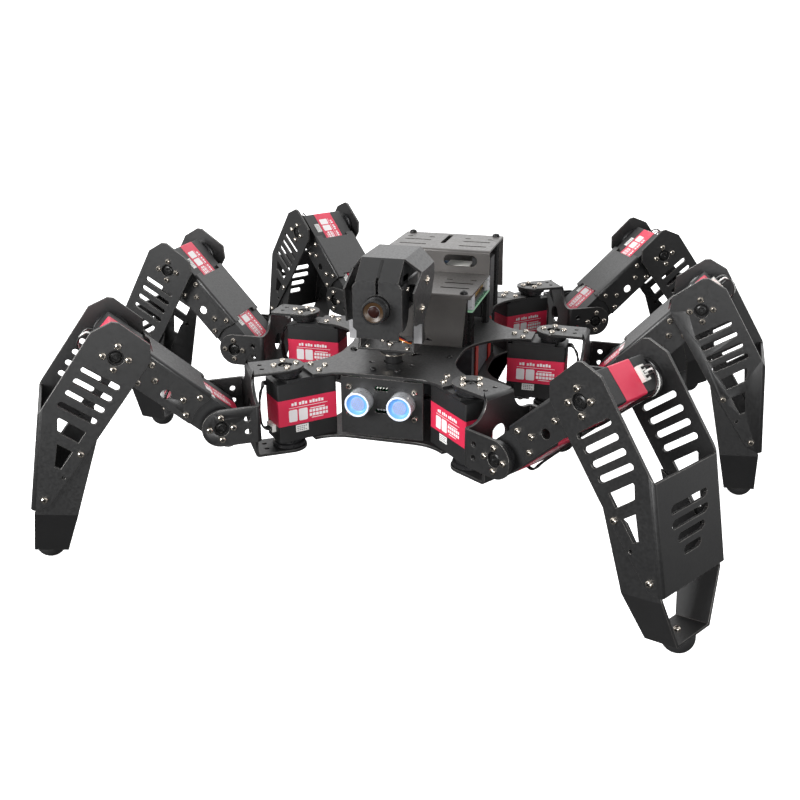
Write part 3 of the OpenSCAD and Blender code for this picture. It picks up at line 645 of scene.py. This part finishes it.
def label_print():
    """Plain bars and blocks on the label, which is 40 wide and 17 high; nothing here is a letter."""
    s = Shape()
    u = 8.9
    for bars in (2, 3, 5):
        for i in range(bars):
            s.bar(u, u + 1.5, 12.6, 14.4 + 0.4 * (i % 2), "print")
            u += 2.0
        u += 1.1
    s.bar(7.2, 33.4, 11.1, 11.4, "print")
    for u0, u1 in ((6.9, 12.6), (13.6, 19.6)):
        s.prism(rounded(u1 - u0, 8.0, 0.9), 0, 0.02, "print", move((u0 + u1) / 2, 6.0, 0))
    s.bar(20.8, 33.4, 6.2, 8.1, "print")
    s.bar(20.8, 33.4, 3.6, 5.5, "print")
    for i in range(5):
        s.bar(22.5 + 2.3 * i, 22.9 + 2.3 * i, 3.6, 8.1, "label", height=0.03)
    s.bar(21.4, 31.4, 8.7, 9.3, "print")
    s.bar(22.2, 30.2, 2.3, 2.8, "print")
    # paper sticker under the band
    s.bar(11.2, 19.8, -5.4, -0.7, "sticker")
    for v, marks in ((-1.9, 5), (-3.1, 4), (-4.3, 5)):
        for i in range(marks):
            s.bar(12.1 + 1.4 * i, 13.1 + 1.4 * i, v - 0.3, v + 0.3, "grey_print", height=0.03)
    return s


def plug():
    """White three-way plug on the near end of a servo, which is at x = 0."""
    s = Shape()
    s.box((-2.6, -4.4, -2.3), (0, 4.4, 2.3), "nylon", bevel=0.3)
    s.box((-2.9, -3.6, 1.2), (-0.4, 3.6, 2.7), "nylon", bevel=0.2)
    # the plug's holes are painted near-black as shade
    for y in (-2.5, 0, 2.5):
        s.box((-2.68, y - 0.8, -1.4), (-1.0, y + 0.8, 0.6), "socket", bevel=0)
    return s


def servo(rim):
    """Output axis along Z, case towards +X, with its printed label and one plug."""
    s = Shape()
    mid = CASE_LEN / 2 - CASE_END
    centre = move(mid, 0, 0)
    half = CASE_H / 2
    seam = 9.8
    for z0, z1, inset in ((-half, -seam, 0), (-seam, seam, 0.06), (seam, half, 0)):
        s.prism(rounded(CASE_LEN - 2 * inset, CASE_W - 2 * inset, 1.0), z0, z1, "case", centre, bevel=0.22)
    s.prism(rounded(CASE_LEN + 0.12, CASE_W + 0.12, 1.05, 6), -8.6, 8.6, "label", centre)
    if rim:
        s.prism(rounded(30, CASE_W - 0.6, 0.8), half - 0.2, half + rim, "case", move(12, 0, 0), bevel=0.2)
    for side in (1, -1):
        face = half if side > 0 else -half
        lid = move(0, 0, face) if side > 0 else move(0, 0, face) @ turn("X", 180)
        for x in (-7.4, 27.4):
            for y in (-7.4, 7.4):
                if not (rim and side > 0 and x > 0):
                    s.stamp(SCREWS["black"], lid @ move(x, y, -0.9) @ Matrix.Scale(0.62, 4))
        # ring round the output, painted darker as recess shade
        s.lathe([(5.4, 0), (5.2, 0.25), (3.4, 0.25)], "case_dark", lid)
        spline = 3.2 + (rim if side > 0 else 0)
        s.lathe([(3, 0), (3, spline), (0, spline)], "aluminium", lid)
    front = move(-CASE_END, -CASE_W / 2 - 0.06, -8.5) @ turn("X", 90)
    back = centre @ turn("Z", 180) @ centre.inverted() @ front
    marks = label_print()
    for place in (front, back):
        s.stamp(marks, place)
    s.stamp(plug(), move(-CASE_END, 0, -10.9))
    return s


def hip_leads(side):
    """Three sleeved leads from a hip servo's plug, up its near end and along the face on side."""
    s = Shape()
    for k in (-1, 0, 1):
        s.tube([(-12.4, 2.5 * k, -11.2), (-15.2, 2.3 * k, -11.4), (-17.4 + 0.3 * k, 1.5 * k, -8.4),
                (-18.2 + 0.5 * k, 0.9 * k, -1.5), (-18.2 - 0.5 * k, -0.8 * k, 5.5),
                (-16.8 + 0.4 * k, side * 1.2, 12), (-14.0, side * (4.2 + k), 15.4),
                (-11.6 - 0.3 * k, side * 9.4, 15.2 + k),
                (-8, side * 12, 13.8 + k), (1, side * 11.5, 12.0 + 1.2 * k),
                (14, side * 11.3, 11.2 + 1.2 * k),
                (27, side * 11.2, 11.4 + 1.2 * k), (31.6, side * 9.4, 13.4 + k), (33, side * 5.6, 17),
                (33.2, side * 4, 20.6)], 0.62, "wire_black")
    return s


def femur_leads(colours):
    """Three leads from a femur servo's plug that loop under the case and end between the servos."""
    s = Shape()
    for k, colour in zip((-1, 0, 1), colours):
        s.tube([(-12.4, 2.5 * k, -11.2), (-15.4, 2.4 * k, -11.4),
                (-18.0 - 0.6 * k, 1.6 * k - 1, -11.2 + 0.5 * k), (-19.0, k - 5, -10.6 + k),
                (-17.2, -9.8 + 0.6 * k, -9.6 + 1.2 * k), (-12.6, -12.3, -8.6 + 1.5 * k),
                (-5, -11.6, -8.2 + 1.6 * k), (10, -11.2, -8 + 1.4 * k), (24, -11.3, -8 + 1.4 * k),
                (30.4, -10.2, -8 + 1.4 * k), (33.6, -5, -8 + 1.4 * k), (34.2, 2, -8 + 1.4 * k),
                (33.8, 9.6, -8 + 1.4 * k)], 0.55, colour)
    return s


# ---- legs ------------------------------------------------------------------------------------------

def coxa_parts():
    s = Shape()
    clearance = 0.35
    s.stamp(horn_set(EAR_T, EAR_TOP_Z - EAR_T - TOP_Z - clearance), move(0, 0, EAR_TOP_Z - EAR_T))
    s.stamp(horn_set(EAR_T, DECK_Z - EAR_LOW_Z - EAR_T - clearance),
            move(0, 0, EAR_LOW_Z + EAR_T) @ turn("X", 180))
    for side in (-1, 1):
        s.stamp(horn_set(EAR_T, 6.0), move(COXA_LEN, side * SIDE_Y, THIGH_Z) @ turn("X", -90 * side))
    return s


def femur_parts():
    lay = turn("X", 90)
    s = Shape()
    s.stamp(servo(0), lay)
    s.stamp(femur_leads(("wire_black",) * 3), lay)
    knee = move(FEMUR_LEN, 0, 0) @ turn("Y", 180) @ lay
    s.stamp(servo(0), knee)
    s.stamp(femur_leads(("wire_black", "wire_white", "wire_black")), knee @ Matrix.Scale(-1, 4, (0, 1, 0)))
    for side in (-1, 1):
        for x, y in FIXINGS:
            for u in (x, FEMUR_LEN - x):
                at = move(u, side * FRAME_HALF, y)
                s.stamp(SCREWS["pan"], at @ turn("X", -90 * side) @ turn("Z", 7 * u))
    return s


def tibia_parts():
    s = Shape()
    for side in (-1, 1):
        out = turn("X", -90 * side)
        s.stamp(horn_set(SHEET_T, SHELL_Y - SHEET_T - CASE_H / 2 - 0.35, 4.5 * side),
                move(0, side * (SHELL_Y - SHEET_T), 0) @ out)
        for a, b in SHELL_SCREWS:
            s.stamp(SCREWS["pan"], move(a, side * SHELL_Y, b) @ out @ turn("Z", 11 * a))
    s.stamp(SCREWS["pan"], turn("Y", SHIN_BEND) @ move(125.5, 0, FOOT_DROP) @ turn("Y", -90))
    return s


def make_legs():
    coxa, femur, tibia = (shape().mesh(name) for shape, name in (
        (coxa_parts, "coxa_hardware"), (femur_parts, "femur_servos"), (tibia_parts, "tibia_hardware")))
    for leg in LEGS:
        places = leg_places(leg)
        show(f"{leg}_horns", coxa, f"{leg}_coxa", places["hip"],
             [f"{leg}_coxa_hardware"])
        show(f"{leg}_servo_pair", femur, f"{leg}_femur", places["thigh"],
             [f"{leg}_femur_servos"])
        show(f"{leg}_shin_screws", tibia, f"{leg}_tibia", places["knee"],
             [f"{leg}_tibia_hardware"])


# ---- body ------------------------------------------------------------------------------------------

def make_body_servos():
    body = servo(RIM_H).mesh("body_servo")
    leads = {side: hip_leads(side).mesh(f"hip_leads_{side}") for side in (-1, 1)}
    mid_z = DECK_Z + CASE_H / 2
    for leg in LEGS:
        hip = joint_place(f"{leg}_hip_swing")
        place = move(hip.x, hip.y, mid_z) @ turn("Z", SERVO_YAW[leg])
        show(f"{leg}_hip_servo", body, "chassis", place, ["body_servos"])
        show(f"{leg}_hip_leads", leads[-1 if "left" in leg else 1], "chassis", place)
    pan_place = move(0, -PAN_Y, mid_z) @ turn("Z", 90)
    show("pan_servo", body, "chassis", pan_place, ["body_servos"])


def make_body_hardware():
    s = Shape()
    down = turn("X", 180)
    servo_places = [move(*joint_place(f"{leg}_hip_swing").xy, 0) @ turn("Z", SERVO_YAW[leg]) for leg in LEGS]
    servo_places.append(move(0, -PAN_Y, 0) @ turn("Z", 90))
    for place in servo_places:
        for i, (x, y) in enumerate(FIXINGS):
            s.stamp(SCREWS["pan"], place @ move(x, y, SKIN_Z) @ turn("Z", 31 * i))
            s.stamp(SCREWS["pan"], place @ move(x, y, DECK_Z - PLATE_T) @ down @ turn("Z", 31 * i))
    for x, y in STANDOFFS:
        s.stamp(post(DECK_Z, TOP_Z, "black_screw"), move(x, y, 0))
        s.stamp(SCREWS["black"], move(x, y, SKIN_Z))
        s.stamp(SCREWS["black"], move(x, y, DECK_Z - PLATE_T) @ down)
    for x, y in BOARD_POSTS:
        s.stamp(post(SKIN_Z, BOARD_Z, "black_screw"), move(x, y, 0))
        s.stamp(post(BOARD_Z + BOARD_T, LOW_DECK_Z - COVER_T - COVER_POST_GAP, "bright"), move(x, y, 0))
        s.stamp(SCREWS["small"], move(x, y, TOP_Z) @ down)
    for points, deck_z in ((LOW_POSTS, LOW_DECK_Z), (HIGH_POSTS, HIGH_DECK_Z)):
        for x, y in points:
            s.stamp(post(SKIN_Z, deck_z - COVER_T - COVER_POST_GAP, "black_screw"), move(x, y, 0))
            s.stamp(SCREWS["hex"], move(x, y, deck_z))
            s.stamp(SCREWS["small"], move(x, y, TOP_Z) @ down)
    forward = turn("X", 90)
    for x, z in PANEL_SCREWS:
        s.stamp(SCREWS["pan"], move(x, PANEL_Y, z) @ forward @ turn("Z", x + z))
        s.lathe([(2.75, 1.5), (2.75, 9.4)], "nylon", move(x, PANEL_Y, z) @ turn("X", -90), steps=16)
    for x in (-8, 8):
        s.stamp(SCREWS["black"], move(x, -96, SKIN_Z))
        s.stamp(SCREWS["black"], move(x, -96, DECK_Z - PLATE_T) @ down)
    show("body_screws", s.mesh("body_screws"), "chassis", stands_for=["body_hardware"])


def make_sensor():
    s = Shape()
    board_y = PANEL_Y + 9.5
    upright = turn("X", 90)
    s.prism(rounded(48, 25, 1), 0, 1.6, "board", move(0, board_y + 1.6, SENSOR_Z) @ upright, bevel=0.1)
    for x in (-SENSOR_X, SENSOR_X):
        can = move(x, board_y, SENSOR_Z) @ upright
        s.lathe([(8.0, 0), (8.0, 17.6), (7.9, 18.0)], "bright", can, 48)
        s.lathe([(7.9, 18.0), (7.75, 18.35), (7.3, 18.5), (6.85, 18.3), (6.7, 17.7)], "glow", can, 48)
        s.lathe([(6.7, 17.7), (5.9, 16.8), (5.1, 16.2), (4.5, 16.0)], "bowl", can, 48)
        s.lathe([(4.5, 16.0), (4.45, 16.5), (4.2, 16.7), (0, 16.85)], "disc", can, 48)
        for i in range(-3, 4):          # wire gauze over the disc
            half = math.sqrt(4.3 ** 2 - (1.1 * i) ** 2)
            for spin in (0, 90):
                s.tube([(-half, 1.1 * i, 16.85), (0, 1.1 * i, 17.0), (half, 1.1 * i, 16.85)], 0.09,
                       "aluminium", can @ turn("Z", spin + 20), 5)
    for x in (-3, -1, 1, 3):
        s.tube([(x - 0.3, PANEL_Y + 6, 90.6), (x, PANEL_Y + 1.4, 91.1), (x + 0.5, PANEL_Y + 0.6, 91.9)],
               0.36, "nylon")
        pin = move(x, board_y, 76.3) @ upright
        s.lathe([(0.85, 0), (0.85, 6.6), (0.6, 7.0), (0, 7.0)], "bright", pin, 12)
    show("distance_sensor", s.mesh("distance_sensor"), "chassis",
         stands_for=["ultrasonic_sensor"])


def make_electronics():
    s = Shape()
    half, front, back = 37.0, -32.5, 44.0
    notch = (23.5, 27.5)
    outline = [(-half, front), (half, front), (half, notch[1]), notch, (notch[0], back), (-half, back)]
    at = move(BOARD_X, 0, BOARD_Z)
    s.prism(outline, 0, BOARD_T, "board_edge", at)
    inner = [(x * 0.997, y * 0.996) for x, y in outline]
    s.prism(inner, -0.03, BOARD_T + 0.03, "board", at)
    top = at @ move(0, 0, BOARD_T)
    # stacked connector behind the window: a pale shell whose mouth and row of contacts are painted near-black
    # as shade
    usb = top @ move(4, 28.5, 0)
    s.box((0, 0, 0), (17.5, 15, 15.2), "nylon", usb, 0.5)
    s.box((1.2, -0.2, 2), (16.3, 1, 9), "socket", usb, 0.1)
    for i in range(6):
        s.box((2.6 + 2.2 * i, -0.15, 11.2), (3.3 + 2.2 * i, 0.2, 12.2), "socket", usb, 0)
    s.box((-3.4, 1, 0), (-0.2, 13, 15.0), "blue", usb, 0.4)
    s.box((-30, 28.5, 0), (-14, 43.5, 13.3), "bright", top, 0.5)
    # the port's mouth is painted near-black as shade
    s.box((-28, 28.3, 2), (-16, 29, 11), "socket", top, 0.1)
    s.box((-7, -8, 0), (7, 6, 2.2), "chip", top, 0.2)
    s.box((notch[0], notch[1] + 0.5, -22.4), (notch[0] + 13.4, notch[1] + 15.5, 21.5), "chip", top, 0.5)
    # header pins, chips, capacitors and screw terminals
    for row in (0, 1):
        x = 33.2 - 2.54 * row
        for i in range(20):
            s.box((x - 0.32, -22 + 2.1 * i, 0), (x + 0.32, -21.4 + 2.1 * i, 6), "gold", top, 0.05)
    s.box((29.2, -23, 0), (34.8, 19.5, 2.5), "chip", top, 0.15)
    chips = [(-20, -14, 9, 9, 1.6), (14, -20, 10, 6, 1.4), (-24, 8, 6, 12, 1.8), (15, 12, 7, 7, 1.2)]
    for x, y, w, d, h in chips:
        s.box((x - w / 2, y - d / 2, 0), (x + w / 2, y + d / 2, h), "chip", top, 0.12)
    can = [(3.1, 0), (3.15, 0.4), (3.1, 8.6), (2.8, 9.0), (0, 9.0)]
    for x, y in ((-30, -16), (-30, -7), (20, 0), (24, -9)):
        s.lathe(can, "aluminium", top @ move(x, y, 0), 24)
    s.box((-22, -31, 0), (14, -24.5, 8.5), "nylon", top, 0.3)
    for i in range(7):
        s.lathe([(1.6, 0), (1.6, 0.15), (0, 0.15)], "nickel", top @ move(-18.5 + 4.9 * i, -27.8, 8.5), 16)
    show("controller", s.mesh("controller"), "chassis", stands_for=["controller_board"])
    # loom from the board's edge down to the plate
    leads = Shape()
    for i in range(4):
        leads.tube([(-35, -22 + 3 * i, 125.4), (-38, -22 + 3 * i, 121), (-37, -20 + 3 * i, 111),
                    (-31, -18 + 3 * i, 103), (-20, -22 + i, 101.9), (-8, -26 - i, 101.4), (-5, -28, 99.5)],
                   0.7, "wire_black")
    show("board_leads", leads.mesh("board_leads"), "chassis")


def make_battery_strap():
    """Two flat loops round the battery."""
    s = Shape()
    low, high, half, t = DECK_Z + 0.3, 92.6, 35.4, 0.9
    loop = rounded(2 * half, high - low, 3.2, 5)
    outer = rounded(2 * (half + t), high - low + 2 * t, 3.8, 5)
    for y in (14, 62):
        at = move(0, y, (low + high) / 2 + 0.4) @ turn("X", 90)
        ring = [(x, z, w) for outline in (outer, loop) for w in (-4.5, 4.5) for x, z in outline]
        n = len(outer)
        faces = []
        for i in range(n):
            j = (i + 1) % n
            faces += [[i, j, n + j, n + i], [2 * n + j, 2 * n + i, 3 * n + i, 3 * n + j],
                      [j, i, 2 * n + i, 2 * n + j], [n + i, n + j, 3 * n + j, 3 * n + i]]
        s.add(ring, faces, "strap", at)
    show("battery_straps", s.mesh("battery_straps"), "chassis")


# ---- head ------------------------------------------------------------------------------------------

def upright_sheet(offset):
    """Lays an outline given as (y, z) upright, with its thickness along X from offset."""
    return Matrix(((0, 0, 1, offset), (1, 0, 0, 0), (0, 1, 0, 0), (0, 0, 0, 1)))


def make_yoke_fittings():
    yoke = Shape()
    floor_z = PAN_FACE_Z + YOKE_T
    for i in range(4):
        on_circle = turn("Z", 90 * i) @ move(7, 0, 0)
        yoke.stamp(SCREWS["pan"], move(0, -PAN_Y, floor_z) @ on_circle @ turn("Z", 25 * i))
    yoke.stamp(SCREWS["centre"], move(0, -PAN_Y, PAN_FACE_Z))
    yoke.lathe([(8.05, 106.3), (8.3, 106.4), (8.3, 107.0), (8.05, 107.1)], "nickel", move(0, -PAN_Y, 0), 48)
    for x, y in ((-13, -91), (13, -91), (-13, -69), (13, -69)):
        yoke.stamp(SCREWS["small"], move(x, y, floor_z))
    for i, look in enumerate(("wire_orange", "wire_red", "wire_black")):
        yoke.tube([(15.4, -76, 115.2 + i), (15.6, -86 - i, 116.5 + i), (14.8, -93.2 - i, 119 + 0.8 * i),
                   (11, -95.4, 121 + 0.8 * i), (6, -93, 121.4 + 0.8 * i), (1, -86, 119), (-4, -79, 115.6)],
                  0.55, look)
    show("yoke_fittings", yoke.mesh("yoke_fittings"), "head_pan")


def make_tilt_drive():
    tilt = Shape()
    at = move(0, TILT_Y, TILT_Z)
    tilt.box((-12, -8, -9), (12, 16, -3.2), "case", at, 0.4)
    tilt.box((-12, -8, -3.1), (12, 16, 5.2), "case", at, 0.4)
    tilt.box((-12, -8, 5.3), (12, 16, 9), "case", at, 0.4)
    for side in (-1, 1):
        end = at @ turn("Y", 90 * side)
        tilt.lathe([(5.5, 10), (5.5, 15.9), (5.1, 16.3), (3, 16.3), (3, 21), (0, 21)], "horn", end, 32)
    show("tilt_drive", tilt.mesh("tilt_drive"), "head_tilt", stands_for=["tilt_servo"])


def make_camera_module():
    camera = Shape()
    face_y = -104.5
    ahead = move(0, face_y, LENS_Z) @ turn("X", 90)
    camera.prism(rounded(26, 26, 1), -1.6, 0, "barrel", ahead, bevel=0.1)
    camera.lathe([(9, 0), (9, 4.6), (8.7, 5), (8, 5), (8, 8.6), (7.75, 8.9)], "barrel", ahead, 48)
    camera.lathe([(7.75, 8.9), (7.3, 9.2), (7.3, 10.2), (7.55, 10.4), (7.55, 11.0), (7.3, 11.2), (7.3, 12.0),
                  (7.55, 12.2), (7.55, 13.9), (7.2, 14.35), (6.5, 14.4), (6.2, 14.1)], "barrel", ahead, 48)
    camera.lathe([(6.2, 14.1), (5.9, 13.7), (5.0, 13.4), (4.0, 13.0), (3.7, 12.9)], "amber", ahead, 48)
    camera.lathe([(3.7, 12.9), (3.66, 13.1), (3.5, 13.15)], "film", ahead, 48)
    camera.lathe([(3.5, 13.15), (2.9, 13.55), (1.9, 13.85), (0.9, 14.0), (0, 14.05)], "glass", ahead, 48)
    # a strip on the brow painted near-black as the shade of an opening, carrying the hood's slit on towards
    # the roof
    camera.prism([(-109.0, 163.0), (-99.2, 171.4), (-99.2, 170.4), (-108.2, 162.0)], -0.8, 0.8, "socket",
                 upright_sheet(0))
    # the camera's two inner boxes and its side cheeks behind the front panel
    for low_y, high_y, low_z, high_z in ((-103.4, -88, 133, 162), (-99, -66, 158.5, 169.6)):
        camera.box((-12.8, low_y, low_z), (12.8, high_y, high_z), "rubber", bevel=0.6)
    for side in (-1, 1):
        cheek = [(-109.6, 131), (-109.6, 158), (-99, 158.5), (-96.5, 157), (-96.5, 141), (-97.6, 136.4),
                 (-100.6, 132.6), (-104.6, 131)]
        camera.prism(cheek, 0, 1.1, "rubber", upright_sheet(side * 14.9 - 0.55), bevel=0.2)
        camera.stamp(SCREWS["small"], move(side * 15.6, -99.6, 154.5) @ turn("Y", 90 * side))
        # silver side plates, wide below the wings and narrow inside them
        plate = [(18.3, 119.7), (23.3, 119.7), (23.3, 132), (20.9, 132), (20.9, 150), (18.3, 150)]
        camera.prism([(side * x, z) for x, z in plate], 0, 1.0, "aluminium",
                     move(0, -94.2, 0) @ turn("X", 90), bevel=0.15)
        for y, z in WING_SCREWS:
            out = move(side * 22.3, y, z) @ turn("Y", 90 * side)
            camera.lathe([(2.9, 0), (2.9, 0.4), (2.5, 0.5), (0, 0.5)], "nickel", out, 24)
            camera.stamp(SCREWS["small"], out @ move(0, 0, 0.5))
            camera.lathe([(1.9, -3.4), (1.9, -1.3)], "bright", out, 16)
    show("camera", camera.mesh("camera"), "head_tilt", stands_for=["camera_module"])


make_camera()
make_studio()
MATERIALS = make_materials()
make_floor()
SCREWS = make_screws()
dress_cad_nodes()
make_legs()
make_body_servos()
make_body_hardware()
make_sensor()
make_electronics()
make_battery_strap()
make_yoke_fittings()
make_tilt_drive()
make_camera_module()
